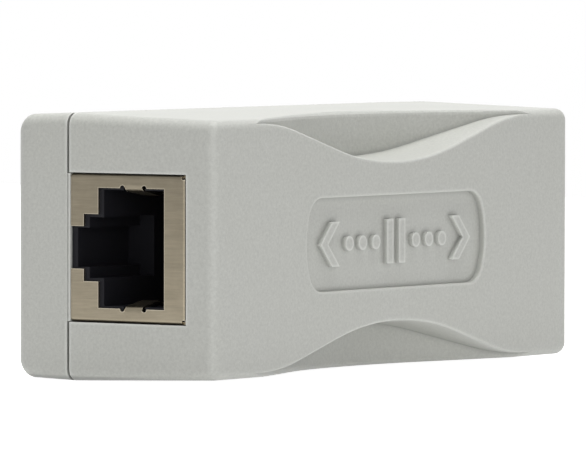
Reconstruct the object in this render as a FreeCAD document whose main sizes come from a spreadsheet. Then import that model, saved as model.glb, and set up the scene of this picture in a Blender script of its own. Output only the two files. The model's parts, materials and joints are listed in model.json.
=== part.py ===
import FreeCAD, Part
import Sketcher
import math
import os
from FreeCAD import Placement, Rotation, Vector

# Network isolator: a drafted two-shell plastic case, 66 mm long, with an 8P8C socket in each end
# and a circuit board between them that carries two isolation transformer blocks.
# Millimetres. X runs along the case, Z is up, and -Y is the broad face with the label recess.
# The pieces are drawn about the middle of the seam plane between the two shells, and each is then
# moved so that the origin lies under the middle of the case, at its lowest point.
SIZES = {
    # Case, outside
    "case_length": 66.0,
    "case_height": 27.2,
    "shell_depth": 18.0,
    "cover_depth": 7.3,
    "end_draft": 0.0082,
    "side_draft": 0.0302,
    "corner_radius": 1.25,
    "front_edge_radius": 1.1,
    "back_edge_radius": 2.3,
    # Case, walls and seam
    "wall": 2.0,
    "front_wall": 2.0,
    "back_wall": 2.0,
    "room_gap": 0.15,
    "seam_width": 0.3,
    "seam_depth": 0.5,
    "lip_height": 1.5,
    "lip_thickness": 0.8,
    "lip_gap": 0.1,
    # Finger scoops in the long edges of the broad face
    "scoop_end_margin": 8.5,
    "scoop_valley_half": 11.0,
    "scoop_shoulder": 6.5,
    "scoop_drop": 4.8,
    "scoop_reach": 6.5,
    "reach_end_margin": 4.3,
    "reach_valley_half": 13.0,
    "reach_shoulder": 5.7,
    "scoop_rim_sink": 0.48,
    "scoop_floor_slope": 0.06,
    "scoop_side_radius": 0.55,
    "scoop_face_radius": 0.3,
    # Label recess and its raised marks
    "label_half_length": 16.55,
    "label_half_height": 4.8,
    "label_bulge": 1.35,
    "label_depth": 0.65,
    "label_corner_radius": 2.4,
    "label_rim_radius": 0.15,
    "mark_half_height": 2.3,
    "mark_stroke": 1.15,
    "mark_relief": 0.5,
    "bar_offset": 1.1,
    "dot_radius": 0.75,
    "dot_start": 3.7,
    "dot_pitch": 2.45,
    "chevron_inner": 10.4,
    "chevron_width": 2.1,
    # Snap arms of the cover
    "snap_centre": 14.0,
    "snap_width": 6.0,
    "snap_thickness": 0.95,
    "snap_reach": 5.0,
    "snap_hook": 0.5,
    "snap_hook_length": 0.8,
    "snap_gap": 0.15,
    # Circuit board and its supports
    "board_end_gap": 0.5,
    "board_side_gap": 0.5,
    "board_thickness": 1.6,
    "board_drop": 0.2,
    "board_notch_gap": 0.3,
    "pin_hole_gap": 0.1,
    "pin_tail": 0.7,
    "post_radius": 1.5,
    "post_gap": 0.3,
    "nub_radius": 0.8,
    "rib_offset": 21.0,
    "rib_thickness": 1.2,
    "rib_height": 1.3,
    "rib_wall_gap": 0.1,
    "rib_length": 12.0,
    "creepage_slot_width": 1.2,
    "creepage_slot_end": 1.8,
    # Socket shield
    "socket_width": 15.0,
    "socket_height": 14.15,
    "socket_setback": 0.1,
    "socket_rise": 0.15,
    "window_gap": 0.1,
    "tab_rise": 0.12,
    "tab_line_depth": 0.08,
    "shield_sheet": 0.25,
    "shield_fold_radius": 0.4,
    "shield_leg_width": 1.2,
    "shield_leg_depth": 6.5,
    "relief_radius": 0.3,
    "fold_relief_radius": 0.22,
    "mouth_half_width": 6.1,
    "mouth_bottom": 3.55,
    "mouth_top": 11.73,
    "step_half_width": 3.42,
    "step_bottom": 1.74,
    "notch_half_width": 2.17,
    "finger_low": 6.55,
    "finger_high": 9.25,
    "finger_reach": 3.2,
    "finger_bend_radius": 0.7,
    "finger_drop": 0.35,
    "finger_gap": 0.1,
    "finger_lean": 0.45,
    "finger_tail": 1.0,
    "finger_tail_rise": 0.35,
    # Socket body, contact carrier and contact wires
    "plug_half_width": 5.9,
    "plug_bottom": 4.1,
    "plug_top": 11.7,
    "plug_depth": 13.0,
    "rail_half_width": 3.1,
    "rail_bottom": 2.3,
    "latch_half_width": 2.0,
    "latch_bottom": 0.85,
    "latch_depth": 9.0,
    "peg_radius": 1.2,
    "peg_depth": 8.0,
    "peg_inset": 1.9,
    "foot_width": 1.4,
    "carrier_half_width": 5.4,
    "carrier_front": 3.4,
    "carrier_lid": 1.5,
    "carrier_back_wall": 1.0,
    "carrier_back_gap": 0.8,
    "carrier_floor": 1.2,
    "contact_count": 8,
    "contact_pitch": 1.02,
    "contact_sheet": 0.3,
    "contact_nose": 4.3,
    "contact_nose_radius": 0.6,
    "contact_half_lean": 0.22,
    "contact_spring": 7.2,
    "contact_run": 0.5,
    "contact_row_gap": 1.4,
    "contact_row_pitch": 1.8,
    # Isolation transformer blocks
    "block_length": 12.6,
    "block_wall_gap": 1.7,
    "block_height": 7.4,
    "block_gap": 1.0,
    "block_lift": 0.3,
    "block_edge_radius": 0.4,
    "block_pins": 8,
    "block_pin_margin": 0.85,
    "block_pin_radius": 0.25,
    "block_pin_row": 5.1,
    # Small parts on the far side of the board
    "choke_count": 4,
    "choke_end_gap": 1.9,
    "choke_row_gap": 1.3,
    "choke_length": 3.2,
    "choke_width": 2.8,
    "chip_cover_gap": 0.5,
    "choke_flange": 0.6,
    "choke_waist": 0.6,
    "winding_thickness": 0.45,
    "resistor_count": 4,
    "resistor_pitch": 3.6,
    "resistor_centre": 2.5,
    "resistor_length": 2.0,
    "resistor_width": 1.25,
    "resistor_height": 0.5,
    "capacitor_pin_gap": 0.9,
    "capacitor_length": 3.2,
    "capacitor_width": 2.5,
}

doc = FreeCAD.newDocument("network_isolator")
sheet = doc.addObject("Spreadsheet::Sheet", "sizes")


class Size:
    """A number together with the spreadsheet formula that gives it."""

    def __init__(self, value, formula):
        self.value = value
        self.formula = formula

    def joined(self, sign, other, value):
        return Size(value, f"({self.formula} {sign} {as_size(other).formula})")

    def __add__(self, other):
        return self.joined("+", other, self.value + as_size(other).value)

    def __sub__(self, other):
        return self.joined("-", other, self.value - as_size(other).value)

    def __mul__(self, other):
        return self.joined("*", other, self.value * as_size(other).value)

    def __truediv__(self, other):
        return self.joined("/", other, self.value / as_size(other).value)

    def __neg__(self):
        return self * -1

    def __radd__(self, other):
        return as_size(other) + self

    def __rsub__(self, other):
        return as_size(other) - self

    def __rmul__(self, other):
        return as_size(other) * self

    def __rtruediv__(self, other):
        return as_size(other) / self


def as_size(number):
    if isinstance(number, Size):
        return number
    return Size(float(number), f"({float(number)})")


def fill_sheet():
    for row, (name, value) in enumerate(SIZES.items(), 1):
        sheet.set(f"A{row}", name)
        sheet.set(f"B{row}", str(value))
        sheet.setAlias(f"B{row}", name)
    doc.recompute()
    return {name: Size(float(value), f"sizes.{name}") for name, value in SIZES.items()}


S = fill_sheet()
ZERO = as_size(0)
HALF_LENGTH = S["case_length"] / 2
HALF_HEIGHT = S["case_height"] / 2
SCOOP_HALF = HALF_LENGTH - S["scoop_end_margin"]
REACH_HALF = HALF_LENGTH - S["reach_end_margin"]
BOARD_HALF = (HALF_LENGTH - S["wall"] - S["board_end_gap"], HALF_HEIGHT - S["wall"] - S["board_side_gap"])
BOARD_BACK = S["board_drop"] + S["board_thickness"]
# Depths behind a socket's face: both rows of contact pins, the carrier's back and the shield's back
NEAR_ROW = S["plug_depth"] + S["contact_row_gap"]
FAR_ROW = NEAR_ROW + S["contact_row_pitch"]
CARRIER_BACK = FAR_ROW + S["carrier_back_wall"]
SOCKET_DEPTH = CARRIER_BACK + S["carrier_back_gap"]
BLOCK_WIDTH = HALF_HEIGHT - S["wall"] - S["block_wall_gap"] - S["block_gap"] / 2
# Where the middle of the seam plane stands once the piece is in its final place
SEAM_Y = (S["shell_depth"] - S["cover_depth"]) / 2
CENTRE = (ZERO, SEAM_Y, HALF_HEIGHT)

ALONG_X = Rotation(Vector(0, 1, 0), 90)
ALONG_Y = Rotation(Vector(1, 0, 0), -90)
UPRIGHT_SKETCH = Rotation(Vector(1, 0, 0), 90)
HALF_TURN = Rotation(Vector(0, 1, 0), 180)
BEYOND = 1.0
# Flat steps that a rim's quarter round is cut in
RIM_STEPS = 3


def bind(thing, prop, size):
    thing.setExpression(prop, as_size(size).formula)


def place(thing, spot, turn=None):
    thing.Placement = Placement(Vector(*[as_size(s).value for s in spot]), turn or Rotation())
    for axis, size in zip("xyz", spot):
        bind(thing, f"Placement.Base.{axis}", size)
    return thing


def box(name, x, y, z):
    """A block from the first to the second value of each span."""
    thing = doc.addObject("Part::Box", name)
    for prop, (low, high) in (("Length", x), ("Width", y), ("Height", z)):
        bind(thing, prop, as_size(high) - low)
    return place(thing, (x[0], y[0], z[0]))


def middle(centre, width):
    """The span of a width about its centre."""
    return (as_size(centre) - as_size(width) / 2, as_size(centre) + as_size(width) / 2)


def rod(name, spot, radius, length, turn=ALONG_Y):
    thing = doc.addObject("Part::Cylinder", name)
    bind(thing, "Radius", radius)
    bind(thing, "Height", length)
    return place(thing, spot, turn)


def taper(name, y, half_length, half_height, far_half_length, far_half_height):
    """A block about the middle that changes its section from the first y to the second."""
    thing = doc.addObject("Part::Wedge", name)
    bind(thing, "Ymin", y[0])
    bind(thing, "Ymax", y[1])
    halves = {"X": half_length, "Z": half_height, "X2": far_half_length, "Z2": far_half_height}
    for prop, size in halves.items():
        bind(thing, f"{prop}min", -as_size(size))
        bind(thing, f"{prop}max", size)
    return thing


def fuse(name, things):
    thing = doc.addObject("Part::MultiFuse", name)
    thing.Shapes = things
    thing.Refine = True
    return thing


def cut(name, base, tools):
    """What is left of the base without the tools."""
    thing = doc.addObject("Part::Cut", name)
    thing.Base = base
    thing.Tool = tools[0] if len(tools) == 1 else gathered(name + "_tools", tools)
    thing.Refine = True
    return thing


def gathered(name, things):
    thing = doc.addObject("Part::MultiFuse", name)
    thing.Shapes = things
    return thing


def shared(name, first, second):
    thing = doc.addObject("Part::Common", name)
    thing.Base = first
    thing.Tool = second
    return thing


def group(name, things):
    thing = doc.addObject("Part::Compound", name)
    thing.Links = things
    return thing


def moved(name, source, spot):
    """A copy of a piece, shifted by a vector."""
    thing = doc.addObject("Part::Compound", name)
    thing.Links = [source]
    return place(thing, spot)


def mirrored(name, source, normal):
    thing = doc.addObject("Part::Mirroring", name)
    thing.Source = source
    thing.Normal = normal
    return thing


def arc_between(start, end, radius, side):
    """The short arc of a radius between two points, its centre on the left (1) or right (-1)."""
    chord = end - start
    across = Vector(-chord.y, chord.x, 0).normalize() * side
    lift = max(radius * radius - chord.Length * chord.Length / 4, 0) ** 0.5
    centre = (start + end) / 2 + across * lift
    first, last = (start, end) if side > 0 else (end, start)
    angles = [Vector(1, 0, 0).getAngle(p - centre) * (1 if p.y >= centre.y else -1) for p in (first, last)]
    circle = Part.Circle(centre, Vector(0, 0, 1), radius)
    return Part.ArcOfCircle(circle, angles[0], angles[1])


def outline(name, corners, spot=(0, 0, 0), turn=None):
    """A closed sketch. A corner is (x, y), or (x, y, radius, side) where an arc leads to the next."""
    sketch = doc.addObject("Sketcher::SketchObject", name)
    place(sketch, spot, turn)
    ends = []
    for number, corner in enumerate(corners):
        after = corners[(number + 1) % len(corners)]
        start = Vector(as_size(corner[0]).value, as_size(corner[1]).value, 0)
        end = Vector(as_size(after[0]).value, as_size(after[1]).value, 0)
        if len(corner) == 2:
            sketch.addGeometry(Part.LineSegment(start, end))
            ends.append((1, 2))
        else:
            sketch.addGeometry(arc_between(start, end, as_size(corner[2]).value, corner[3]))
            ends.append((1, 2) if corner[3] > 0 else (2, 1))
    for number, corner in enumerate(corners):
        last = (number - 1) % len(corners)
        joint = Sketcher.Constraint("Coincident", last, ends[last][1], number, ends[number][0])
        sketch.addConstraint(joint)
        for kind, size in (("DistanceX", corner[0]), ("DistanceY", corner[1])):
            value = as_size(size).value
            index = sketch.addConstraint(Sketcher.Constraint(kind, -1, 1, number, ends[number][0], value))
            bind(sketch, f"Constraints[{index}]", size)
        if len(corner) > 2:
            radius = as_size(corner[2])
            index = sketch.addConstraint(Sketcher.Constraint("Radius", number, radius.value))
            bind(sketch, f"Constraints[{index}]", radius)
    return sketch


def prism(name, sketch, direction, length):
    thing = doc.addObject("Part::Extrusion", name)
    thing.Base = sketch
    thing.DirMode = "Custom"
    thing.Dir = Vector(*direction)
    thing.Solid = True
    bind(thing, "LengthFwd", length)
    return thing


def rounded(name, source, rounds):
    """Edges rounded by the first rule that accepts them: a rule is (test of an edge, radius)."""
    doc.recompute()
    edges = []
    for number, edge in enumerate(source.Shape.Edges, 1):
        radius = next((size.value for test, size in rounds if test(edge)), None)
        if radius:
            edges.append((number, radius, radius))
    thing = doc.addObject("Part::Fillet", name)
    thing.Base = source
    thing.Edges = edges
    return thing


def edge_middle(edge):
    return edge.valueAt((edge.FirstParameter + edge.LastParameter) / 2)


def runs_along_y(edge):
    start, end = edge.Vertexes[0].Point, edge.Vertexes[-1].Point
    return abs(end.y - start.y) > BEYOND


def lies_at_y(size):
    return lambda edge: all(abs(v.Y - size.value) < 0.01 for v in edge.Vertexes)


NODES = []


def finish(thing, name, spot=CENTRE, turn=None):
    """Puts a finished piece where it belongs and names it."""
    place(thing, spot, turn)
    thing.Label = name
    NODES.append(thing)
    return thing


def wave(half_length, valley_half, shoulder, drop, low):
    """The corners of a smooth dip: a hollow arc, straight slopes, and shoulder arcs that level out."""
    slope_start = half_length - shoulder
    tangent = drop / (half_length + slope_start - valley_half)
    spread = (1 + tangent * tangent) / (2 * tangent)
    slope = 2 * tangent / (1 - tangent * tangent)
    knee = low + valley_half * tangent
    edge = knee + (slope_start - valley_half) * slope
    high = edge + shoulder * tangent
    return [
        (-half_length, high, shoulder * spread, -1),
        (-slope_start, edge),
        (-valley_half, knee, valley_half * spread, 1),
        (valley_half, knee),
        (slope_start, edge, shoulder * spread, -1),
        (half_length, high),
    ]


def rim_corners(radius):
    """Depth and overhang at the corners of a quarter round that is cut in flat steps."""
    turns = [math.radians(90 * number / RIM_STEPS) for number in range(RIM_STEPS + 1)]
    return [(radius * (1 - math.cos(turn)), radius * (1 - math.sin(turn))) for turn in turns]


def front_dip(name, y, sink):
    """The dip as seen from the front, at a place along y and lowered by an amount."""
    low = HALF_HEIGHT - S["side_draft"] * S["shell_depth"] - S["scoop_drop"]
    drop = S["scoop_drop"] - S["scoop_rim_sink"]
    dip = wave(SCOOP_HALF, S["scoop_valley_half"], S["scoop_shoulder"], drop, low)
    crest, far = HALF_HEIGHT + BEYOND, HALF_LENGTH + BEYOND
    dip += [(far, dip[0][1]), (far, crest), (-far, crest), (-far, dip[0][1])]
    return outline(name, dip, (ZERO, y, -sink), UPRIGHT_SKETCH)


def top_dip(name, z, push):
    """The dip as seen from above, at a height and pushed in by an amount."""
    front = -S["shell_depth"] - BEYOND
    deep = S["scoop_reach"] - S["shell_depth"]
    back = wave(REACH_HALF, S["reach_valley_half"], S["reach_shoulder"], -S["scoop_reach"], deep)
    back = [(c[0], c[1], -c[2], -c[3]) if len(c) > 2 else c for c in back]
    back += [(REACH_HALF, front), (-REACH_HALF, front)]
    return outline(name, back, (ZERO, push, z))


def scoop_floor(name):
    """The space over the scoop's floor, which rises a little away from the broad face."""
    slope = S["scoop_floor_slope"]
    start = -S["shell_depth"] - BEYOND
    sketch = front_dip(name + "_view", start, slope * (S["scoop_face_radius"] + BEYOND))
    return prism(name, sketch, (0, 1, slope.value), S["scoop_reach"] + 2 * BEYOND)


def scoop_wall(name):
    """The space before the scoop's far wall."""
    return prism(name, top_dip(name + "_view", ZERO, ZERO), (0, 0, 1), HALF_HEIGHT + 2 * BEYOND)


def scoop_space():
    """The upper finger scoop with sharp rims: a dip seen from the front, met by a dip seen from above."""
    return shared("scoop_space", scoop_floor("space_floor"), scoop_wall("space_wall"))


def scoop_tool():
    """What the upper finger scoop takes away, its long rims rounded in flat steps."""
    floors = [scoop_floor("scoop_floor")]
    corners = rim_corners(S["scoop_face_radius"])
    for number, (start, end) in enumerate(zip(corners, corners[1:])):
        sketch = front_dip(f"face_rim_view_{number}", start[0] - S["shell_depth"], start[1])
        rise, run = (start[1] - end[1]).value, (end[0] - start[0]).value
        length = S["scoop_face_radius"] * (math.hypot(rise, run) / S["scoop_face_radius"].value)
        floors.append(prism(f"face_rim_{number}", sketch, (0, run, rise), length))
    walls = [scoop_wall("scoop_wall")]
    corners = rim_corners(S["scoop_side_radius"])
    top = HALF_HEIGHT - S["side_draft"] * (S["shell_depth"] - S["scoop_reach"])
    above = top_dip("side_rim_view", top, S["scoop_side_radius"])
    walls.append(prism("side_rim", above, (0, 0, 1), as_size(2 * BEYOND)))
    for number, (start, end) in enumerate(zip(corners, corners[1:])):
        sketch = top_dip(f"side_rim_view_{number}", top - start[0], start[1])
        drop, run = (end[0] - start[0]).value, (start[1] - end[1]).value
        length = S["scoop_side_radius"] * (math.hypot(drop, run) / S["scoop_side_radius"].value)
        walls.append(prism(f"side_rim_{number}", sketch, (0, -run, -drop), length))
    return shared("scoop_tool", gathered("scoop_floors", floors), gathered("scoop_walls", walls))


def half_section(y, inset):
    """Half the length and half the height of the drafted case at a depth, less an inset."""
    depth = y if as_size(y).value > 0 else -as_size(y)
    return HALF_LENGTH - S["end_draft"] * depth - inset, HALF_HEIGHT - S["side_draft"] * depth - inset


def drafted(name, low, high, inset):
    return taper(name, (low, high), *half_section(low, inset), *half_section(high, inset))


def frame_ring(name, y, outer, inner):
    """A flat ring about the middle, between two pairs of half length and half height."""
    blank = box(name + "_outer", (-outer[0], outer[0]), y, (-outer[1], outer[1]))
    hole = box(name + "_inner", (-inner[0], inner[0]), (y[0] - BEYOND, y[1] + BEYOND), (-inner[1], inner[1]))
    return cut(name, blank, [hole])


def window_tools(name, low, high, gap):
    """Blocks through both end walls where the sockets show."""
    half = S["socket_width"] / 2 + gap
    reach = HALF_LENGTH + BEYOND
    inner = HALF_LENGTH - S["wall"] - BEYOND
    spans = (("input", (-reach, -inner)), ("output", (inner, reach)))
    return [box(f"{name}_{end}", x, (low, high), (-half, half)) for end, x in spans]


def label_recess():
    """The sunk label field with bowed ends."""
    straight = S["label_half_length"] - S["label_bulge"]
    tall = S["label_half_height"]
    radius = (tall * tall + S["label_bulge"] * S["label_bulge"]) / (2 * S["label_bulge"])
    corners = [
        (-straight, -tall),
        (straight, -tall, radius, 1),
        (straight, tall),
        (-straight, tall, radius, 1),
    ]
    start = (ZERO, S["label_depth"] - S["shell_depth"], ZERO)
    sketch = outline("label_outline", corners, start, UPRIGHT_SKETCH)
    field = prism("label_field", sketch, (0, -1, 0), S["label_depth"] + BEYOND)
    return rounded("label_recess", field, [(runs_along_y, S["label_corner_radius"])])


def label_marks():
    """Plain raised marks: two ports, three dots each, kept apart by a double bar."""
    base = S["label_depth"] - S["shell_depth"]
    level = (base - S["mark_relief"], base + S["label_depth"])
    tall = S["mark_half_height"]
    stroke = S["mark_stroke"]
    marks = []
    for end, sign in (("left", -1), ("right", 1)):
        bar_x = S["bar_offset"] * sign
        marks.append(box(f"mark_bar_{end}", middle(bar_x, stroke), level, (-tall, tall)))
        for number in range(3):
            spot = ((S["dot_start"] + S["dot_pitch"] * number) * sign, level[0], ZERO)
            marks.append(rod(f"mark_dot_{end}_{number}", spot, S["dot_radius"], level[1] - level[0]))
        inner = S["chevron_inner"] * sign
        tip = (S["chevron_inner"] + S["chevron_width"]) * sign
        side = stroke * 1.2 * sign
        near = [(inner, tall), (tip, ZERO), (inner, -tall)]
        corners = near + [(x + side, z) for x, z in reversed(near)]
        sketch = outline(f"mark_chevron_{end}_outline", corners, (ZERO, level[1], ZERO), UPRIGHT_SKETCH)
        marks.append(prism(f"mark_chevron_{end}", sketch, (0, -1, 0), level[1] - level[0]))
    return marks


def snap_level():
    """How far from the middle the outer side of a snap arm stands."""
    return HALF_HEIGHT - S["wall"] - S["side_draft"] * S["snap_reach"] - S["snap_gap"]


def snap_tools():
    """Pockets in the long walls that the hooks of the snap arms enter."""
    top = snap_level() + S["snap_hook"] + S["snap_gap"]
    y = (-S["snap_reach"] - S["snap_gap"], S["snap_hook_length"] - S["snap_reach"] + S["snap_gap"])
    tools = []
    for number, (side, level) in enumerate(((-1, -1), (-1, 1), (1, -1), (1, 1))):
        x = middle(S["snap_centre"] * side, S["snap_width"] + 2 * S["snap_gap"])
        z = (snap_level() - BEYOND, top) if level > 0 else (-top, BEYOND - snap_level())
        tools.append(box(f"snap_pocket_{number}", x, y, z))
    return tools


def main_shell():
    """The deep shell: broad face with label recess and finger scoops, both socket windows, four ribs."""
    front = -S["shell_depth"]
    block = drafted("shell_block", front, ZERO, ZERO)
    scoop = scoop_tool()
    lower_scoop = mirrored("scoop_tool_lower", scoop, Vector(0, 0, 1))
    edges = [(lies_at_y(front), S["front_edge_radius"]), (runs_along_y, S["corner_radius"])]
    soft = rounded("shell_soft", block, edges)
    rimmed = cut("shell_scooped", soft, [scoop, lower_scoop])
    cavity = drafted("shell_cavity", S["front_wall"] - S["shell_depth"], ZERO, S["wall"])
    space = scoop_space()
    lower_space = mirrored("scoop_space_lower", space, Vector(0, 0, 1))
    bumps = [
        moved("scoop_bump", space, (ZERO, S["wall"], -S["wall"])),
        moved("scoop_bump_lower", lower_space, (ZERO, S["wall"], S["wall"])),
    ]
    hollow = cut("shell_hollow", cavity, bumps)
    rim_left = S["wall"] - S["lip_thickness"] - S["lip_gap"]
    wide, tall = HALF_LENGTH - rim_left, HALF_HEIGHT - rim_left
    rebate_y = (-S["lip_height"] - S["lip_gap"], as_size(BEYOND))
    rebate = box("lip_rebate", (-wide, wide), rebate_y, (-tall, tall))
    bottom = -S["socket_rise"] - S["socket_height"] - S["window_gap"]
    windows = window_tools("window", bottom, as_size(BEYOND), S["window_gap"])
    empty = cut("shell_empty", rimmed, [hollow, rebate, *windows, *snap_tools(), *inner_rooms()])
    sunk = cut("shell_sunk", empty, [label_recess()])
    rim = rounded("shell_label_rim", sunk, [(is_label_rim, S["label_rim_radius"])])
    finish(fuse("main_shell", [rim, *shell_ribs(), *label_marks()]), "main_shell")


def inner_rooms():
    """The space that the sockets and transformer blocks need, where a wall behind a scoop gives way."""
    gap = S["room_gap"]
    half = S["socket_width"] / 2 + gap
    y = (-shield_top() - gap, as_size(BEYOND))
    inner, outer = socket_x(SOCKET_DEPTH + gap, 1), HALF_LENGTH - S["wall"]
    spans = (("input", (-outer, -inner)), ("output", (inner, outer)))
    rooms = [box(f"{end}_room", x, y, (-half, half)) for end, x in spans]
    tall = S["block_gap"] / 2 + BLOCK_WIDTH + gap
    block_y = (block_span()[0] - gap, as_size(BEYOND))
    rooms.append(box("block_room", middle(0, S["block_length"] + 2 * gap), block_y, (-tall, tall)))
    return rooms


def is_label_rim(edge):
    spot = edge_middle(edge)
    on_face = abs(spot.y + S["shell_depth"].value) < 0.001
    wide, tall = S["label_half_length"].value + 0.01, S["label_half_height"].value + 0.01
    return on_face and abs(spot.x) < wide and abs(spot.z) < tall


def shell_ribs():
    """Four ribs that hold the board down on its posts."""
    ribs = []
    outer = HALF_HEIGHT - S["wall"] - S["rib_wall_gap"]
    inner = outer - S["rib_height"]
    for number, (side, level) in enumerate(((-1, -1), (-1, 1), (1, -1), (1, 1))):
        z = (inner, outer) if level > 0 else (-outer, -inner)
        x = middle(S["rib_offset"] * side, S["rib_thickness"])
        ribs.append(box(f"rib_{number}", x, (-S["rib_length"], S["board_drop"]), z))
    return ribs


def post_spots():
    inset = S["wall"] + S["post_gap"] + S["post_radius"]
    x, z = HALF_LENGTH - inset, HALF_HEIGHT - inset
    return [(x * side, z * level) for side in (-1, 1) for level in (-1, 1)]


def rear_cover():
    """The shallow shell: a lip that enters the deep shell, snap arms, board posts, window tabs."""
    depth = S["cover_depth"]
    block = drafted("cover_block", ZERO, depth, ZERO)
    edges = [(lies_at_y(depth), S["back_edge_radius"]), (runs_along_y, S["corner_radius"])]
    soft = rounded("cover_soft", block, edges)
    floor = depth - S["back_wall"]
    hollow = drafted("cover_hollow", ZERO, floor, S["wall"])
    tray = cut("cover_tray", soft, [hollow])
    lip_in = [half - S["wall"] for half in (HALF_LENGTH, HALF_HEIGHT)]
    lip_out = [half + S["lip_thickness"] for half in lip_in]
    ring = frame_ring("lip_ring", (-S["lip_height"], S["lip_thickness"]), lip_out, lip_in)
    lip = cut("lip", ring, window_tools("lip_gate", -S["lip_height"] - BEYOND, ZERO, S["window_gap"]))
    tab_half = S["socket_width"] / 2
    groove_in = [half - S["seam_depth"] for half in (HALF_LENGTH, HALF_HEIGHT)]
    groove_out = [half + BEYOND for half in (HALF_LENGTH, HALF_HEIGHT)]
    full_groove = frame_ring("seam_ring", (-as_size(BEYOND), S["seam_width"]), groove_out, groove_in)
    span = HALF_LENGTH + 2 * BEYOND
    around = as_size(2 * BEYOND)
    keep = box("seam_keep", (-span, span), (-around, around), (-tab_half, tab_half))
    groove = cut("seam_groove", full_groove, [keep])
    body = fuse("cover_body", [cut("cover_grooved", tray, [groove]), lip, *cover_tabs(tab_half)])
    line_in = [half - S["tab_line_depth"] for half in (HALF_LENGTH, HALF_HEIGHT)]
    lined = cut("cover_lined", body, [frame_ring("tab_line", (ZERO, S["seam_width"]), groove_out, line_in)])
    finish(fuse("rear_cover", [lined, *snap_arms(floor), *board_posts(floor)]), "rear_cover")


def cover_tabs(half):
    """Low tabs that close the socket windows of the deep shell on the seam side."""
    inner = HALF_LENGTH - S["wall"]
    y = (-S["tab_rise"], S["back_wall"])
    spans = (("input", (-HALF_LENGTH, -inner)), ("output", (inner, HALF_LENGTH)))
    tabs = []
    for end, x in spans:
        raw = box(f"tab_{end}_raw", x, y, (-half, half))
        bound = drafted(f"tab_{end}_bound", *y, ZERO)
        tabs.append(shared(f"tab_{end}", raw, bound))
    return tabs


def snap_arms(floor):
    outer = snap_level()
    inner = outer - S["snap_thickness"]
    wall = HALF_HEIGHT - S["wall"] + S["lip_thickness"] / 2
    half = S["snap_width"] / 2
    arms = []
    for number, (side, level) in enumerate(((-1, -1), (-1, 1), (1, -1), (1, 1))):
        x = middle(S["snap_centre"] * side, S["snap_width"])
        stem = (inner, outer) if level > 0 else (-outer, -inner)
        root = (inner, wall) if level > 0 else (-wall, -inner)
        arms.append(box(f"snap_stem_{number}", x, (-S["snap_reach"], floor), stem))
        arms.append(box(f"snap_root_{number}", x, (S["seam_width"] + S["seam_depth"], floor), root))
        hook = doc.addObject("Part::Wedge", f"snap_hook_{number}")
        tip = -S["snap_reach"]
        levels = {"Zmin": inner, "Zmax": outer, "Z2min": inner, "Z2max": outer + S["snap_hook"]}
        if level < 0:
            levels = {"Zmin": -outer, "Zmax": -inner, "Z2min": -outer - S["snap_hook"], "Z2max": -inner}
        levels.update({"Ymin": tip, "Ymax": tip + S["snap_hook_length"]})
        levels.update({"Xmin": -half, "Xmax": half, "X2min": -half, "X2max": half})
        for prop, size in levels.items():
            bind(hook, prop, size)
        arms.append(place(hook, (S["snap_centre"] * side, ZERO, ZERO)))
    return arms


def board_posts(floor):
    posts = []
    length = floor - BOARD_BACK + BEYOND / 2
    nub_length = S["board_thickness"] + BEYOND
    for number, (x, z) in enumerate(post_spots()):
        posts.append(rod(f"post_{number}", (x, BOARD_BACK, z), S["post_radius"], length))
        posts.append(rod(f"post_nub_{number}", (x, S["board_drop"], z), S["nub_radius"], nub_length))
    return posts


def socket_x(depth, side):
    """Where a depth behind a socket's face lies along the case."""
    return (HALF_LENGTH - S["socket_setback"] - depth) * side


def contact_spots():
    """Depth and height of each contact's pin, in two staggered rows."""
    count = SIZES["contact_count"]
    spots = []
    for number in range(count):
        depth = NEAR_ROW if number % 2 else FAR_ROW
        spots.append((depth, S["contact_pitch"] * (number - (count - 1) / 2)))
    return spots


def pin_row_spots(count, pitch, centre):
    return [centre + pitch * (number - (count - 1) / 2) for number in range(count)]


def block_spots():
    """Height of the middle of the upper and the lower transformer block."""
    shift = (BLOCK_WIDTH + S["block_gap"]) / 2
    return (("upper", shift), ("lower", -shift))


def block_span():
    """The blocks' reach along y: from their outer face to their foot, just off the board."""
    foot = S["board_drop"] - S["block_lift"]
    return (foot - S["block_height"], foot)


def block_pin_spots(z):
    """Heights of the pins in each of the two rows of a transformer block."""
    count = SIZES["block_pins"]
    return pin_row_spots(count, (BLOCK_WIDTH - 2 * S["block_pin_margin"]) / (count - 1), z)


def through_board(name, x, z, radius):
    start = S["board_drop"] - BEYOND
    return rod(name, (x, start, z), radius + S["pin_hole_gap"], S["board_thickness"] + 2 * BEYOND)


def circuit_board():
    """The board: holes for pins, pegs and posts, notches for the snap arms, a slot across the barrier."""
    y = (S["board_drop"], BOARD_BACK)
    through = (y[0] - BEYOND, y[1] + BEYOND)
    half = BOARD_HALF
    blank = box("board_blank", (-half[0], half[0]), y, (-half[1], half[1]))
    tools = [through_board(f"post_hole_{n}", x, z, S["nub_radius"]) for n, (x, z) in enumerate(post_spots())]
    for number, (side, level) in enumerate(((-1, -1), (-1, 1), (1, -1), (1, 1))):
        x = middle(S["snap_centre"] * side, S["snap_width"] + 2 * S["board_notch_gap"])
        inner = snap_level() - S["snap_thickness"] - S["board_notch_gap"]
        z = (inner, half[1] + BEYOND) if level > 0 else (-half[1] - BEYOND, -inner)
        tools.append(box(f"board_notch_{number}", x, through, z))
    for end, side in (("input", -1), ("output", 1)):
        tools += socket_holes(end, side, through)
    for name, z in block_spots():
        for side in (-1, 1):
            for number, height in enumerate(block_pin_spots(z)):
                x = S["block_pin_row"] * side
                hole = f"{name}_pin_hole_{side}_{number}"
                tools.append(through_board(hole, x, height, S["block_pin_radius"]))
    slot = half[1] - S["creepage_slot_end"]
    tools.append(box("creepage_slot", middle(0, S["creepage_slot_width"]), through, (-slot, slot)))
    finish(cut("circuit_board", blank, tools), "circuit_board")


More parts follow.
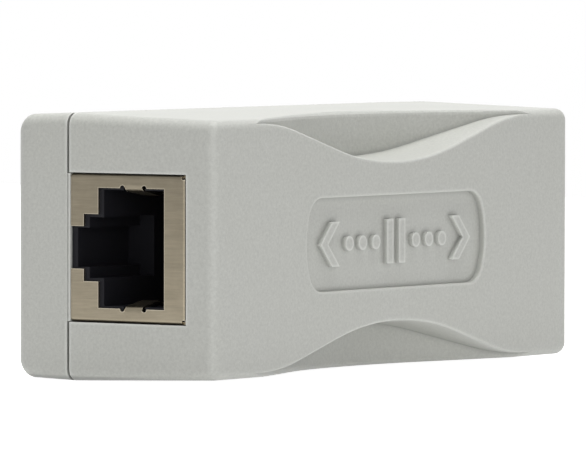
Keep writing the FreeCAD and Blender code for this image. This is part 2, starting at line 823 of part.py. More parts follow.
def socket_holes(end, side, through):
    """Holes for one socket's contact pins, pegs and shield legs."""
    tools = []
    for number, (depth, z) in enumerate(contact_spots()):
        height = z * -side
        x = socket_x(depth, side)
        tools.append(through_board(f"{end}_pin_hole_{number}", x, height, S["contact_sheet"] * 0.75))
    for level in (-1, 1):
        x = socket_x(S["peg_depth"], side)
        tools.append(through_board(f"{end}_peg_hole_{level}", x, peg_offset() * level, S["peg_radius"]))
        leg = leg_span(level)
        gap = S["pin_hole_gap"]
        slot_x = middle(socket_x(S["shield_leg_depth"], side), S["shield_leg_width"] + 2 * gap)
        tools.append(box(f"{end}_leg_slot_{level}", slot_x, through, (leg[0] - gap, leg[1] + gap)))
    return tools


def peg_offset():
    return S["socket_width"] / 2 - S["peg_inset"]


def leg_span(level):
    outer = S["socket_width"] / 2
    inner = outer - S["shield_sheet"]
    return (inner, outer) if level > 0 else (-outer, -inner)


def pin_end():
    """How far the tips of the soldered pins reach through the board."""
    return BOARD_BACK + S["pin_tail"]


def socket_place(side):
    """The input socket faces -X; the output socket is the same piece turned half round."""
    spot = (socket_x(ZERO, side), SEAM_Y, HALF_HEIGHT)
    return (spot, None) if side < 0 else (spot, HALF_TURN)


def mouth_tools(end, back):
    """The stepped opening in the front of the shield, wide for the plug and narrow for its latch."""
    x = (-as_size(BEYOND), back)
    main_y = (-S["mouth_top"], -S["mouth_bottom"])
    main = box(f"{end}_mouth", x, main_y, middle(0, 2 * S["mouth_half_width"]))
    step_y = (-S["mouth_bottom"] - BEYOND, -S["step_bottom"])
    step = box(f"{end}_mouth_step", x, step_y, middle(0, 2 * S["step_half_width"]))
    notch_y = (-S["step_bottom"] - BEYOND, as_size(BEYOND))
    notch = box(f"{end}_mouth_notch", x, notch_y, middle(0, 2 * S["notch_half_width"]))
    tools = [main, step, notch]
    long = back - x[0]
    small = S["fold_relief_radius"]
    for level in (-1, 1):
        for number, height in enumerate((S["finger_low"], S["finger_high"])):
            spot = (x[0], -height, S["mouth_half_width"] * level)
            tools.append(rod(f"{end}_relief_{level}_{number}", spot, S["relief_radius"], long, ALONG_X))
        root = [S["mouth_half_width"] * level, (finger_level() + S["finger_bend_radius"]) * level]
        root_y = (S["relief_radius"] - S["finger_high"], -S["finger_low"] - S["relief_radius"])
        tools.append(box(f"{end}_finger_root_{level}", x, root_y, root[::level]))
        corner = (x[0], small - shield_top(), (S["socket_width"] / 2 - small) * level)
        tools.append(rod(f"{end}_fold_relief_{level}", corner, small, long, ALONG_X))
    return tools


def shield_top():
    return S["socket_rise"] + S["socket_height"]


def finger_level():
    """How far from the middle of the mouth a spring finger stands where its bend ends."""
    return S["mouth_half_width"] - S["finger_drop"]


def spring_finger(end, level):
    """A finger folded in from the rim of the mouth, which presses on a shielded plug."""
    sheet_level = finger_level()
    lean = sheet_level - S["finger_lean"]
    tail = lean + S["finger_tail_rise"]
    reach = S["finger_reach"]
    far = reach + S["finger_tail"]
    sheet_size = S["shield_sheet"]
    bend = S["finger_bend_radius"]
    corners = [
        (ZERO, (sheet_level + bend) * level, bend, level),
        (bend, sheet_level * level),
        (reach, lean * level),
        (far, tail * level),
        (far, (tail + sheet_size) * level),
        (reach, (lean + sheet_size) * level),
        (bend, (sheet_level + sheet_size) * level, bend - sheet_size, -level),
        (sheet_size, (sheet_level + bend) * level),
    ]
    inset = S["relief_radius"]
    start = (ZERO, -S["finger_low"] - inset, ZERO)
    sketch = outline(f"{end}_finger_outline_{level}", corners, start, UPRIGHT_SKETCH)
    return prism(f"{end}_finger_{level}", sketch, (0, -1, 0), S["finger_high"] - S["finger_low"] - 2 * inset)


def shield(end, side):
    """The folded sheet around a socket: front, sides, far wall and rear, with two solder legs."""
    width = middle(0, S["socket_width"])
    inner = middle(0, S["socket_width"] - 2 * S["shield_sheet"])
    depth = SOCKET_DEPTH
    y = (-shield_top(), -S["socket_rise"])
    block = box(f"{end}_shield_block", (ZERO, depth), y, width)
    folded = rounded(f"{end}_shield_folded", block, [(is_front_fold, S["shield_fold_radius"])])
    room_x = (S["shield_sheet"], depth - S["shield_sheet"])
    room = box(f"{end}_shield_room", room_x, (y[0] + S["shield_sheet"], as_size(BEYOND)), inner)
    shell = cut(f"{end}_shield_shell", folded, [room, *mouth_tools(end, S["shield_sheet"] + BEYOND / 10)])
    legs = []
    for level in (-1, 1):
        x = middle(S["shield_leg_depth"], S["shield_leg_width"])
        leg_y = (-S["socket_rise"] - BEYOND, pin_end())
        legs.append(box(f"{end}_leg_{level}", x, leg_y, leg_span(level)))
    fingers = [spring_finger(end, level) for level in (-1, 1)]
    finish(fuse(f"{end}_shield", [shell, *legs, *fingers]), f"{end}_socket_shield", *socket_place(side))


def is_front_fold(edge):
    """The front edges that the sheet is bent around: far wall and both sides."""
    spot = edge_middle(edge)
    at_front = all(abs(v.X) < 0.001 for v in edge.Vertexes)
    return at_front and spot.y < -S["socket_rise"].value - 0.001


def socket_body(end, side):
    """The moulded body inside the shield, with the plug's space, the latch rails and two pegs."""
    sheet_size = S["shield_sheet"]
    half = S["socket_width"] / 2 - sheet_size
    top = shield_top() - sheet_size
    back = SOCKET_DEPTH - sheet_size
    block = box(f"{end}_body_block", (sheet_size, back), (-top, -S["socket_rise"]), (-half, half))
    latch = (ZERO, S["latch_depth"])
    finger = (ZERO, S["finger_reach"] + S["finger_tail"] + sheet_size)
    spaces = [
        ("plug", (ZERO, S["plug_depth"]), (-S["plug_top"], -S["plug_bottom"]), S["plug_half_width"]),
        ("rail", latch, (-S["plug_bottom"] - BEYOND, -S["rail_bottom"]), S["rail_half_width"]),
        ("latch", latch, (-S["rail_bottom"] - BEYOND, -S["latch_bottom"]), S["latch_half_width"]),
        ("lid", (S["carrier_front"], back + BEYOND), (-top - BEYOND, BEYOND - S["plug_top"]),
         S["carrier_half_width"]),
        ("rear", (S["plug_depth"], back + BEYOND), (-top - BEYOND, as_size(BEYOND)),
         S["carrier_half_width"]),
        ("finger", finger, (-S["finger_high"], -S["finger_low"]),
         finger_level() + S["finger_bend_radius"] + S["finger_gap"]),
    ]
    tools = [box(f"{end}_{name}_space", x, y, (-wide, wide)) for name, x, y, wide in spaces]
    shell = cut(f"{end}_body_shell", block, tools)
    extras = []
    for level in (-1, 1):
        z = peg_offset() * level
        start = -S["socket_rise"] - BEYOND / 2
        spot = (S["peg_depth"], start, z)
        extras.append(rod(f"{end}_peg_{level}", spot, S["peg_radius"], pin_end() - start))
        foot_x, foot_z = [middle(centre, 2 * S["foot_width"]) for centre in (S["peg_depth"], z)]
        extras.append(box(f"{end}_foot_{level}", foot_x, (start, S["board_drop"]), foot_z))
    finish(fuse(f"{end}_body", [shell, *extras]), f"{end}_socket_body", *socket_place(side))


def wire_outline(end, number, depth, height):
    """Side view of one contact: soldered pin, run under the lid, nose, and the spring that leans back."""
    lean = S["contact_half_lean"]
    scale = 1 + lean * lean
    sine = 2 * lean / scale
    cosine = (1 - lean * lean) / scale
    sheet_size = S["contact_sheet"]
    radius = S["contact_nose_radius"]
    top = -contact_level()
    nose = (S["contact_nose"], top + radius)
    outer = (nose[0] - radius * sine, nose[1] + radius * cosine)
    inner_radius = radius - sheet_size
    inner = (nose[0] - inner_radius * sine, nose[1] + inner_radius * cosine)
    reach = S["contact_spring"]
    half = sheet_size / 2
    corners = [
        (depth + half, pin_end()),
        (depth + half, top),
        (nose[0], top, radius, -1),
        outer,
        (outer[0] + reach * cosine, outer[1] + reach * sine),
        (inner[0] + reach * cosine, inner[1] + reach * sine),
        (inner[0], inner[1], inner_radius, 1),
        (nose[0], top + sheet_size),
        (depth - half, top + sheet_size),
        (depth - half, pin_end()),
    ]
    return outline(f"{end}_contact_outline_{number}", corners, (ZERO, ZERO, height - half))


def contact_level():
    """Height of the contacts' long run above the seam plane, inside the carrier's lid."""
    return S["plug_top"] + S["contact_run"] + S["contact_sheet"]


def contacts(end):
    wires = []
    for number, (depth, height) in enumerate(contact_spots()):
        sketch = wire_outline(end, number, depth, height)
        wires.append(prism(f"{end}_contact_{number}", sketch, (0, 0, 1), S["contact_sheet"]))
    return wires


def contact_carrier(end, side):
    """The comb that the contacts are moulded into: a lid over the plug's space and a rear block."""
    wires = contacts(end)
    half = S["carrier_half_width"]
    lid_top = shield_top() - S["shield_sheet"]
    lid_x = (S["carrier_front"] + S["contact_nose_radius"] + S["contact_sheet"], S["plug_depth"])
    lid = box(f"{end}_carrier_lid", lid_x, (-lid_top, S["carrier_lid"] - lid_top), (-half, half))
    rear_x = (S["plug_depth"], CARRIER_BACK)
    rear = box(f"{end}_carrier_rear", rear_x, (-lid_top, -S["carrier_floor"]), (-half, half))
    block = fuse(f"{end}_carrier_block", [lid, rear])
    finish(cut(f"{end}_carrier", block, wires), f"{end}_contact_carrier", *socket_place(side))
    finish(group(f"{end}_contact_set", wires), f"{end}_contacts", *socket_place(side))


def transformer_block(name, z):
    """A potted block with the windings of two line pairs, and its two rows of pins."""
    y = block_span()
    block = box(f"{name}_block", middle(0, S["block_length"]), y, middle(z, BLOCK_WIDTH))
    soft = rounded(f"{name}_block_soft", block, [(lies_at_y(y[0]), S["block_edge_radius"])])
    finish(soft, f"{name}_transformer_block")
    pins = []
    for side in (-1, 1):
        for number, height in enumerate(block_pin_spots(z)):
            spot = (S["block_pin_row"] * side, y[1], height)
            pins.append(rod(f"{name}_pin_{side}_{number}", spot, S["block_pin_radius"], pin_end() - y[1]))
    finish(group(f"{name}_pins", pins), f"{name}_transformer_pins")


def chip_height():
    """Height of the tall parts behind the board, which stay clear of the cover."""
    return S["cover_depth"] - S["back_wall"] - BOARD_BACK - S["chip_cover_gap"]


def chokes(end, side):
    """Common-mode chokes: a ferrite bobbin each, wound around its waist."""
    cores, windings = [], []
    wide, tall = S["choke_width"], chip_height()
    centre_x = (S["block_length"] / 2 + S["choke_row_gap"] + S["choke_length"] / 2) * side
    centre_y = BOARD_BACK + tall / 2
    pitch = (2 * (BOARD_HALF[1] - S["choke_end_gap"]) - wide) / (SIZES["choke_count"] - 1)
    core_wide, core_tall = wide - 2 * S["choke_waist"], tall - 2 * S["choke_waist"]
    wrap = 2 * S["winding_thickness"]
    wound = S["choke_length"] - 2 * S["choke_flange"]
    for number, z in enumerate(pin_row_spots(SIZES["choke_count"], pitch, ZERO)):
        core = middle(centre_y, core_tall), middle(z, core_wide)
        around = middle(centre_y, core_tall + wrap), middle(z, core_wide + wrap)
        solids = [box(f"{end}_choke_bar_{number}", middle(centre_x, S["choke_length"]), *core)]
        for way in (-1, 1):
            x = middle(centre_x + (wound + S["choke_flange"]) / 2 * way, S["choke_flange"])
            flange = f"{end}_choke_flange_{number}_{way}"
            solids.append(box(flange, x, middle(centre_y, tall), middle(z, wide)))
        cores.append(fuse(f"{end}_choke_core_{number}", solids))
        coil = box(f"{end}_coil_outer_{number}", middle(centre_x, wound), *around)
        hole = box(f"{end}_coil_inner_{number}", middle(centre_x, wound + 2 * BEYOND), *core)
        windings.append(cut(f"{end}_coil_{number}", coil, [hole]))
    finish(group(f"{end}_choke_core_set", cores), f"{end}_choke_cores")
    finish(group(f"{end}_coil_set", windings), f"{end}_choke_windings")


def chips(end, side):
    """Termination resistors in a row beside the barrier slot, and one surge capacitor behind the socket."""
    x = middle(S["resistor_centre"] * side, S["resistor_width"])
    y = (BOARD_BACK, BOARD_BACK + S["resistor_height"])
    row = [
        box(f"{end}_resistor_{number}", x, y, middle(z, S["resistor_length"]))
        for number, z in enumerate(pin_row_spots(SIZES["resistor_count"], S["resistor_pitch"], ZERO))
    ]
    finish(group(f"{end}_resistor_set", row), f"{end}_termination_resistors")
    depth = NEAR_ROW - S["capacitor_pin_gap"] - S["capacitor_length"] / 2
    x = middle(socket_x(depth, side), S["capacitor_length"])
    y = (BOARD_BACK, BOARD_BACK + chip_height())
    capacitor = box(f"{end}_capacitor", x, y, middle(0, S["capacitor_width"]))
    finish(group(f"{end}_capacitor_set", [capacitor]), f"{end}_surge_capacitor")


def check(things):
    """Stops if any object failed to build."""
    for thing in doc.Objects:
        if {"Invalid", "Error"} & set(thing.State):
            raise RuntimeError(f"{thing.Name} failed: {thing.State}")
    for thing in things:
        if thing.Shape.isNull() or not thing.Shape.isValid() or not thing.Shape.Solids:
            raise RuntimeError(f"{thing.Label} has no sound shape")


def build():
    main_shell()
    rear_cover()
    circuit_board()
    for end, side in (("input", -1), ("output", 1)):
        shield(end, side)
        socket_body(end, side)
        contact_carrier(end, side)
        chokes(end, side)
        chips(end, side)
    for name, z in block_spots():
        transformer_block(name, z)
    doc.recompute()
    check(NODES)
    os.makedirs("parts", exist_ok=True)
    for thing in NODES:
        thing.Shape.exportStep(f"parts/{thing.Label}.step")
        print(f"{thing.Label:32s} solids {len(thing.Shape.Solids):3d} volume {thing.Shape.Volume:10.3f}")


build()
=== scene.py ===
import bpy
import json
import math
from mathutils import Matrix, Vector

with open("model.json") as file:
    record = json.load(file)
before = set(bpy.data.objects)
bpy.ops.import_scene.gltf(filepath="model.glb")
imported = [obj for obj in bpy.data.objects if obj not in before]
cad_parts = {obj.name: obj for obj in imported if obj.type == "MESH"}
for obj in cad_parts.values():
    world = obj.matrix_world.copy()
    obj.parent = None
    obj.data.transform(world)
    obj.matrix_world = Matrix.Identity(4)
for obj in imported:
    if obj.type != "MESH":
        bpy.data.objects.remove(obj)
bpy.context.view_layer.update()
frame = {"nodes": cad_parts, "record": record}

MM = 0.001

# The camera stands far off, in front of the broad face and towards the input end.
CAMERA_HEADING = math.radians(55.5)
CAMERA_DROP = math.radians(2.2)
CAMERA_ROLL = math.radians(0.068)
CAMERA_SPOT = Vector((-728.29, -500.06, 48.37)) * MM
CAMERA_LENS = 520.6
CAMERA_FILM = 36.0

# The surroundings as light on the case, and as the camera, metal and glass see them
SKY_LEVEL = 0.03
WHITE_SURROUND = 1.0

# The paper's own glow as light on the case, and as it is seen: with the lamps' light it is white,
# and only the shadow of the case shows on it.
PAPER_GLOW = 0.3
PAPER_SEEN = 0.88
PAPER_HALF = 0.45

# Name, place and width in metres, watts, and whether reflections show the lamp: only the wide one
# that faces the upright corner may glint in the folds of the sheet.
SOFT_BOXES = (
    ("top_soft_box", (0.0, 0.0, 0.7), 0.5, 5.7, False),
    ("corner_soft_box", (-0.6, -0.6, 0.1), 0.7, 3.2, True),
    ("back_soft_box", (0.45, 0.8, 0.5), 0.4, 1.8, False),
)
CASE_MIDDLE = Vector((0, 0, 13.6)) * MM

# The upright band that the socket's face covers, over which the sheet is painted darker towards the top
FACE_LOW = 6.5 * MM
FACE_HIGH = 20.5 * MM


def linear(hex_colour):
    """An sRGB hex colour as the linear colour that a shader works with."""
    parts = [int(hex_colour[i:i + 2], 16) / 255 for i in (1, 3, 5)]
    return [c / 12.92 if c <= 0.04045 else ((c + 0.055) / 1.055) ** 2.4 for c in parts] + [1.0]


def per_mm(size):
    """The texture scale at which one feature measures this many millimetres."""
    return 1 / (size * MM)


def bands_per_mm(size):
    """The wave texture's scale at which its bands repeat every so many millimetres."""
    return 2 * math.pi / 20 / (size * MM)


def add(tree, kind, settings=None, **links):
    """Adds a node, sets its properties or sockets, and links what is passed as an output socket."""
    node = tree.nodes.new(kind)
    for name, value in (settings or {}).items():
        if hasattr(node, name):
            setattr(node, name, value)
        else:
            node.inputs[name].default_value = value
    for name, value in links.items():
        socket = node.inputs[int(name[2:])] if name.startswith("in") else node.inputs[name.replace("_", " ")]
        tree.links.new(value, socket)
    return node


def new_material(name):
    """An empty node material with its output and the position on the piece in metres."""
    material = bpy.data.materials.new(name)
    material.use_nodes = True
    tree = material.node_tree
    tree.nodes.clear()
    output = tree.nodes.new("ShaderNodeOutputMaterial")
    place = tree.nodes.new("ShaderNodeTexCoord").outputs["Object"]
    return material, tree, output, place


def spark_eroded_abs():
    """Light grey ABS from a spark-eroded mould: a dull even skin with a fine sandy grain."""
    material, tree, output, place = new_material("light_grey_abs_spark_eroded")
    # The grain of such a mould is about 0.1 mm; it is drawn at 0.3 mm so that it shows in the picture.
    grain = add(tree, "ShaderNodeTexNoise", {"Scale": per_mm(0.3), "Detail": 3.0, "Roughness": 0.7},
                Vector=place)
    # Slow unevenness of the melt, a few millimetres across, barely seen
    cloud = add(tree, "ShaderNodeTexNoise", {"Scale": per_mm(9.0), "Detail": 2.0}, Vector=place)
    speckle = add(tree, "ShaderNodeMapRange", {"From Min": 0.3, "From Max": 0.7}, Value=grain.outputs["Fac"])
    tone = add(tree, "ShaderNodeMix", {"data_type": "RGBA"}, in0=speckle.outputs["Result"])
    tone.inputs[6].default_value = linear("#BABBB6")
    tone.inputs[7].default_value = linear("#CACBC6")
    drift = add(tree, "ShaderNodeMix", {"data_type": "RGBA", "blend_type": "MULTIPLY"},
                in0=cloud.outputs["Fac"], in6=tone.outputs[2])
    drift.inputs[7].default_value = linear("#FCFCFA")
    # Painted highlight: the outer edges and rims are painted paler, as a bright line along each edge.
    edges = add(tree, "ShaderNodeAmbientOcclusion", {"inside": True, "samples": 6, "Distance": 0.35 * MM})
    rim_highlight_mask = add(tree, "ShaderNodeMapRange", {"From Min": 0.5, "From Max": 1.0, "To Min": 1.0, "To Max": 0.0},
                 Value=edges.outputs["AO"])
    rim_highlighted = add(tree, "ShaderNodeMix", {"data_type": "RGBA"}, in0=rim_highlight_mask.outputs["Result"],
               in6=drift.outputs[2])
    rim_highlighted.inputs[7].default_value = linear("#DCDDD8")
    # Painted shade: the foot of each step and recess is painted darker.
    feet = add(tree, "ShaderNodeAmbientOcclusion", {"samples": 6, "Distance": 0.6 * MM})
    step_foot_shade_mask = add(tree, "ShaderNodeMapRange",
                  {"From Min": 0.3, "From Max": 1.0, "To Min": 1.0, "To Max": 0.0}, Value=feet.outputs["AO"])
    step_foot_shaded = add(tree, "ShaderNodeMix", {"data_type": "RGBA"}, in0=step_foot_shade_mask.outputs["Result"],
                in6=rim_highlighted.outputs[2])
    step_foot_shaded.inputs[7].default_value = linear("#A3A4A0")
    sheen = add(tree, "ShaderNodeMapRange",
                {"From Min": 0.3, "From Max": 0.7, "To Min": 0.36, "To Max": 0.46},
                Value=grain.outputs["Fac"])
    bump = add(tree, "ShaderNodeBump", {"Strength": 0.6, "Distance": 0.02 * MM}, Height=grain.outputs["Fac"])
    skin = add(tree, "ShaderNodeBsdfPrincipled", {"IOR": 1.53}, Base_Color=step_foot_shaded.outputs[2],
               Roughness=sheen.outputs["Result"], Normal=bump.outputs["Normal"])
    tree.links.new(skin.outputs["BSDF"], output.inputs["Surface"])
    return material


def nickel_plated_sheet():
    """Rolled sheet under a thin dull nickel plating: warm grey, with fine rolling lines and cloudy stains."""
    material, tree, output, place = new_material("nickel_plated_rolled_sheet")
    # Rolling lines run across the face from seam to broad side. Real ones are some hundredths of a
    # millimetre apart; they are drawn at 0.25 mm so that they show in the picture.
    stretch = add(tree, "ShaderNodeMapping", {"Scale": (1.0, 0.06, 1.0)}, Vector=place)
    lines = add(tree, "ShaderNodeTexNoise", {"Scale": per_mm(0.25), "Detail": 3.0, "Roughness": 0.7},
                Vector=stretch.outputs["Vector"])
    stains = add(tree, "ShaderNodeTexNoise", {"Scale": per_mm(2.5), "Detail": 4.0, "Roughness": 0.6},
                 Vector=place)
    plating = add(tree, "ShaderNodeMix", {"data_type": "RGBA"}, in0=stains.outputs["Fac"])
    plating.inputs[6].default_value = linear("#7C7464")
    plating.inputs[7].default_value = linear("#918978")
    streak = add(tree, "ShaderNodeMapRange",
                 {"From Min": 0.3, "From Max": 0.7, "To Min": 0.84, "To Max": 1.06},
                 Value=lines.outputs["Fac"])
    # Painted shade: the sheet is painted darker from the socket's lower edge to its upper one.
    height = add(tree, "ShaderNodeSeparateXYZ", Vector=place)
    span = {"From Min": FACE_LOW, "From Max": FACE_HIGH, "To Min": 1.07, "To Max": 0.8}
    painted_top_shade = add(tree, "ShaderNodeMapRange", span, Value=height.outputs["Z"])
    streaks_and_top_shade = add(tree, "ShaderNodeMath", {"operation": "MULTIPLY"}, in0=streak.outputs["Result"],
                in1=painted_top_shade.outputs["Result"])
    face = add(tree, "ShaderNodeVectorMath", {"operation": "SCALE"}, in0=plating.outputs[2],
               Scale=streaks_and_top_shade.outputs["Value"])
    # Painted highlight: cut edges and folds are painted as a thin bright line.
    edges = add(tree, "ShaderNodeAmbientOcclusion", {"inside": True, "samples": 6, "Distance": 0.1 * MM})
    edge_glint_mask = add(tree, "ShaderNodeMapRange",
                    {"From Min": 0.5, "From Max": 0.95, "To Min": 0.8, "To Max": 0.0},
                    Value=edges.outputs["AO"])
    sheet = add(tree, "ShaderNodeMix", {"data_type": "RGBA"}, in0=edge_glint_mask.outputs["Result"],
                in6=face.outputs["Vector"])
    sheet.inputs[7].default_value = linear("#C9C0AE")
    gloss = add(tree, "ShaderNodeMapRange", {"From Min": 0.3, "From Max": 0.7, "To Min": 0.28, "To Max": 0.4},
                Value=stains.outputs["Fac"])
    bump = add(tree, "ShaderNodeBump", {"Strength": 0.4, "Distance": 0.006 * MM}, Height=lines.outputs["Fac"])
    skin = add(tree, "ShaderNodeBsdfPrincipled", {"Metallic": 1.0}, Base_Color=sheet.outputs[2],
               Roughness=gloss.outputs["Result"], Normal=bump.outputs["Normal"])
    tree.links.new(skin.outputs["BSDF"], output.inputs["Surface"])
    return material


def glass_filled_polyester():
    """Black glass-filled polyester of the socket bodies: satin black with a faint fibre mottle."""
    material, tree, output, place = new_material("black_glass_filled_polyester")
    fibres = add(tree, "ShaderNodeTexNoise", {"Scale": per_mm(0.3), "Detail": 4.0, "Roughness": 0.7},
                 Vector=place)
    tone = add(tree, "ShaderNodeMix", {"data_type": "RGBA"}, in0=fibres.outputs["Fac"])
    tone.inputs[6].default_value = linear("#131317")
    tone.inputs[7].default_value = linear("#1B1B20")
    bump = add(tree, "ShaderNodeBump", {"Strength": 0.2, "Distance": 0.01 * MM}, Height=fibres.outputs["Fac"])
    skin = add(tree, "ShaderNodeBsdfPrincipled", {"Roughness": 0.6, "IOR": 1.55, "Specular IOR Level": 0.15},
               Base_Color=tone.outputs[2], Normal=bump.outputs["Normal"])
    tree.links.new(skin.outputs["BSDF"], output.inputs["Surface"])
    return material


def gold_flash():
    """Gold-plated phosphor bronze wire: warm yellow metal, a little uneven where plugs have rubbed it."""
    material, tree, output, place = new_material("gold_plated_bronze_wire")
    wear = add(tree, "ShaderNodeTexNoise", {"Scale": per_mm(0.4), "Detail": 3.0}, Vector=place)
    tone = add(tree, "ShaderNodeMix", {"data_type": "RGBA"}, in0=wear.outputs["Fac"])
    tone.inputs[6].default_value = linear("#C08E3C")
    tone.inputs[7].default_value = linear("#DDB565")
    gloss = add(tree, "ShaderNodeMapRange", {"To Min": 0.18, "To Max": 0.3}, Value=wear.outputs["Fac"])
    skin = add(tree, "ShaderNodeBsdfPrincipled", {"Metallic": 1.0}, Base_Color=tone.outputs[2],
               Roughness=gloss.outputs["Result"])
    tree.links.new(skin.outputs["BSDF"], output.inputs["Surface"])
    return material


def solder_mask():
    """Green solder mask over glass-fibre laminate: a glossy coat with the weave just showing through."""
    material, tree, output, place = new_material("green_solder_mask_on_laminate")
    # Yarns of the glass cloth, 0.45 mm apart both ways
    warp = add(tree, "ShaderNodeTexWave", {"bands_direction": "X", "Scale": bands_per_mm(0.45)}, Vector=place)
    weft = add(tree, "ShaderNodeTexWave", {"bands_direction": "Z", "Scale": bands_per_mm(0.45)}, Vector=place)
    cloth = add(tree, "ShaderNodeMath", {"operation": "MULTIPLY"}, in0=warp.outputs["Fac"],
                in1=weft.outputs["Fac"])
    tone = add(tree, "ShaderNodeMix", {"data_type": "RGBA"}, in0=cloth.outputs["Value"])
    tone.inputs[6].default_value = linear("#164A26")
    tone.inputs[7].default_value = linear("#1F6033")
    bump = add(tree, "ShaderNodeBump", {"Strength": 0.15, "Distance": 0.01 * MM},
               Height=cloth.outputs["Value"])
    skin = add(tree, "ShaderNodeBsdfPrincipled", {"Roughness": 0.28, "IOR": 1.5}, Base_Color=tone.outputs[2],
               Normal=bump.outputs["Normal"])
    tree.links.new(skin.outputs["BSDF"], output.inputs["Surface"])
    return material


def black_epoxy():
    """Black epoxy that the transformer blocks are potted in: glossy with a shallow orange-peel skin."""
    material, tree, output, place = new_material("black_potting_epoxy")
    peel = add(tree, "ShaderNodeTexNoise", {"Scale": per_mm(1.2), "Detail": 2.0}, Vector=place)
    tone = add(tree, "ShaderNodeMix", {"data_type": "RGBA"}, in0=peel.outputs["Fac"])
    tone.inputs[6].default_value = linear("#121213")
    tone.inputs[7].default_value = linear("#1C1C1E")
    bump = add(tree, "ShaderNodeBump", {"Strength": 0.3, "Distance": 0.02 * MM}, Height=peel.outputs["Fac"])
    skin = add(tree, "ShaderNodeBsdfPrincipled", {"Roughness": 0.25, "IOR": 1.55}, Base_Color=tone.outputs[2],
               Normal=bump.outputs["Normal"])
    tree.links.new(skin.outputs["BSDF"], output.inputs["Surface"])
    return material


def sintered_ferrite():
    """Sintered ferrite of the choke bobbins: dark, dry and slightly pitted."""
    material, tree, output, place = new_material("sintered_ferrite")
    pits = add(tree, "ShaderNodeTexVoronoi", {"Scale": per_mm(0.2)}, Vector=place)
    tone = add(tree, "ShaderNodeMix", {"data_type": "RGBA"}, in0=pits.outputs["Distance"])
    tone.inputs[6].default_value = linear("#333437")
    tone.inputs[7].default_value = linear("#4A4B4F")
    bump = add(tree, "ShaderNodeBump", {"Strength": 0.3, "Distance": 0.01 * MM},
               Height=pits.outputs["Distance"])
    skin = add(tree, "ShaderNodeBsdfPrincipled", {"Roughness": 0.7, "IOR": 1.9}, Base_Color=tone.outputs[2],
               Normal=bump.outputs["Normal"])
    tree.links.new(skin.outputs["BSDF"], output.inputs["Surface"])
    return material


def enamelled_copper():
    """Enamelled copper wire wound around a bobbin: reddish gloss in close turns."""
    material, tree, output, place = new_material("enamelled_copper_turns")
    # Turns lie side by side along the case, 0.16 mm from one to the next.
    turns = add(tree, "ShaderNodeTexWave", {"bands_direction": "X", "Scale": bands_per_mm(0.16)},
                Vector=place)
    tone = add(tree, "ShaderNodeMix", {"data_type": "RGBA"}, in0=turns.outputs["Fac"])
    tone.inputs[6].default_value = linear("#6B2F14")
    tone.inputs[7].default_value = linear("#C4713A")
    bump = add(tree, "ShaderNodeBump", {"Strength": 0.8, "Distance": 0.05 * MM}, Height=turns.outputs["Fac"])
    skin = add(tree, "ShaderNodeBsdfPrincipled", {"Metallic": 0.8, "Roughness": 0.3},
               Base_Color=tone.outputs[2], Normal=bump.outputs["Normal"])
    tree.links.new(skin.outputs["BSDF"], output.inputs["Surface"])
    return material


def fired_ceramic(name, dark, light, roughness):
    """Fired ceramic of a small chip: an even body with a fine speckle."""
    material, tree, output, place = new_material(name)
    speckle = add(tree, "ShaderNodeTexNoise", {"Scale": per_mm(0.15), "Detail": 3.0}, Vector=place)
    tone = add(tree, "ShaderNodeMix", {"data_type": "RGBA"}, in0=speckle.outputs["Fac"])
    tone.inputs[6].default_value = linear(dark)
    tone.inputs[7].default_value = linear(light)
    bump = add(tree, "ShaderNodeBump", {"Strength": 0.2, "Distance": 0.006 * MM},
               Height=speckle.outputs["Fac"])
    skin = add(tree, "ShaderNodeBsdfPrincipled", {"Roughness": roughness, "IOR": 1.6},
               Base_Color=tone.outputs[2], Normal=bump.outputs["Normal"])
    tree.links.new(skin.outputs["BSDF"], output.inputs["Surface"])
    return material


def tinned_wire():
    """Tinned copper wire of the transformer pins: pale, soft-looking metal."""
    material, tree, output, place = new_material("tinned_copper_wire")
    dull = add(tree, "ShaderNodeTexNoise", {"Scale": per_mm(0.3), "Detail": 3.0}, Vector=place)
    tone = add(tree, "ShaderNodeMix", {"data_type": "RGBA"}, in0=dull.outputs["Fac"])
    tone.inputs[6].default_value = linear("#B4B6B8")
    tone.inputs[7].default_value = linear("#D0D2D3")
    gloss = add(tree, "ShaderNodeMapRange", {"To Min": 0.25, "To Max": 0.45}, Value=dull.outputs["Fac"])
    skin = add(tree, "ShaderNodeBsdfPrincipled", {"Metallic": 1.0}, Base_Color=tone.outputs[2],
               Roughness=gloss.outputs["Result"])
    tree.links.new(skin.outputs["BSDF"], output.inputs["Surface"])
    return material


def dress(node, material):
    """Gives a carried-over piece its finish."""
    slots = frame["nodes"][node].data.materials
    slots.clear()
    slots.append(material)


def dress_all():
    """Every carried-over piece in the finish of its material slot."""
    finishes = {
        "case_plastic": spark_eroded_abs(),
        "shield_steel": nickel_plated_sheet(),
        "socket_plastic": glass_filled_polyester(),
        "contact_gold": gold_flash(),
        "board_laminate": solder_mask(),
        "potting": black_epoxy(),
        "ferrite": sintered_ferrite(),
        "copper_wire": enamelled_copper(),
        "resistor_ceramic": fired_ceramic("black_coated_chip", "#0E0E0F", "#1D1D1F", 0.35),
        "capacitor_ceramic": fired_ceramic("tan_chip_ceramic", "#8E6E4A", "#A98560", 0.55),
        "pin_tin": tinned_wire(),
    }
    for part in frame["record"]["subparts"]:
        dress(part["node"], finishes[part["material_slot"]])


def soft_box(name, spot, width, watts, mirrored):
    """A square lamp that looks at the middle of the case."""
    data = bpy.data.lights.new(name, "AREA")
    data.size = width
    data.energy = watts
    lamp = bpy.data.objects.new(name, data)
    lamp.visible_glossy = mirrored
    lamp.location = spot
    lamp.rotation_euler = (CASE_MIDDLE - Vector(spot)).to_track_quat("-Z", "Y").to_euler()
    bpy.context.scene.collection.objects.link(lamp)


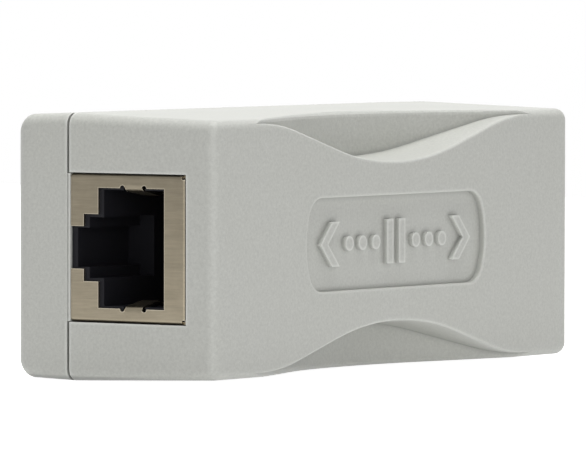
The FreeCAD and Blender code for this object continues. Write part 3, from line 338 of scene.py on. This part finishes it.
def seen_directly(tree):
    """1 for what the camera sees, also in metal and through glass; 0 for light on its way to a surface."""
    ray = tree.nodes.new("ShaderNodeLightPath")
    seen = add(tree, "ShaderNodeMath", {"operation": "MAXIMUM"}, in0=ray.outputs["Is Camera Ray"],
               in1=ray.outputs["Is Glossy Ray"])
    seen = add(tree, "ShaderNodeMath", {"operation": "MAXIMUM"}, in0=seen.outputs["Value"],
               in1=ray.outputs["Is Transmission Ray"])
    return seen.outputs["Value"]


def background(tree):
    """White wherever the surroundings are seen, and an even sky as light."""
    tree.nodes.clear()
    level = add(tree, "ShaderNodeMapRange", {"To Min": SKY_LEVEL, "To Max": WHITE_SURROUND},
                Value=seen_directly(tree))
    sky = add(tree, "ShaderNodeBackground", {"Color": (1, 1, 1, 1)}, Strength=level.outputs["Result"])
    output = tree.nodes.new("ShaderNodeOutputWorld")
    tree.links.new(sky.outputs["Background"], output.inputs["Surface"])


def studio():
    """White surroundings and the soft boxes."""
    world = bpy.data.worlds.new("studio")
    world.use_nodes = True
    background(world.node_tree)
    bpy.context.scene.world = world
    for box in SOFT_BOXES:
        soft_box(*box)


def white_paper():
    """Matt white paper under the case, seen as white but for the shadow on it."""
    material, tree, output, place = new_material("matt_white_paper")
    fibres = add(tree, "ShaderNodeTexNoise", {"Scale": per_mm(1.5), "Detail": 4.0}, Vector=place)
    tone = add(tree, "ShaderNodeMix", {"data_type": "RGBA"}, in0=fibres.outputs["Fac"])
    tone.inputs[6].default_value = linear("#CDCDCD")
    tone.inputs[7].default_value = linear("#D1D1D1")
    sheet = add(tree, "ShaderNodeBsdfDiffuse", {}, Color=tone.outputs[2])
    glow = add(tree, "ShaderNodeMapRange", {"To Min": PAPER_GLOW, "To Max": PAPER_SEEN},
               Value=seen_directly(tree))
    light = add(tree, "ShaderNodeEmission", {"Color": (1, 1, 1, 1)}, Strength=glow.outputs["Result"])
    both = add(tree, "ShaderNodeAddShader", {}, in0=sheet.outputs["BSDF"], in1=light.outputs["Emission"])
    tree.links.new(both.outputs["Shader"], output.inputs["Surface"])
    return material


def paper_floor():
    """The sheet under the case. Beyond it the surroundings are white too, so its edge doesn't show."""
    half = PAPER_HALF
    mesh = bpy.data.meshes.new("paper_floor")
    corners = [(-half, -half, 0), (half, -half, 0), (half, half, 0), (-half, half, 0)]
    mesh.from_pydata(corners, [], [(0, 1, 2, 3)])
    floor = bpy.data.objects.new("paper_floor", mesh)
    floor.data.materials.append(white_paper())
    bpy.context.scene.collection.objects.link(floor)


def camera():
    """The photograph's view: turned from the broad face towards the input end, and looking slightly down."""
    heading, drop, roll = CAMERA_HEADING, CAMERA_DROP, CAMERA_ROLL
    ahead = Vector((math.sin(heading) * math.cos(drop), math.cos(heading) * math.cos(drop), -math.sin(drop)))
    right = Vector((math.cos(heading), -math.sin(heading), 0))
    up = right.cross(ahead)
    turned_right = right * math.cos(roll) + up * math.sin(roll)
    turned_up = up * math.cos(roll) - right * math.sin(roll)
    data = bpy.data.cameras.new("camera")
    data.lens = CAMERA_LENS
    data.sensor_width = CAMERA_FILM
    data.clip_start = 0.05
    data.clip_end = 50
    view = bpy.data.objects.new("camera", data)
    turn = Matrix((turned_right, turned_up, -ahead)).transposed().to_4x4()
    view.matrix_world = Matrix.Translation(CAMERA_SPOT) @ turn
    bpy.context.scene.collection.objects.link(view)
    bpy.context.scene.camera = view


camera()
paper_floor()
studio()
dress_all()
bpy.context.scene.view_settings.view_transform = "Standard"
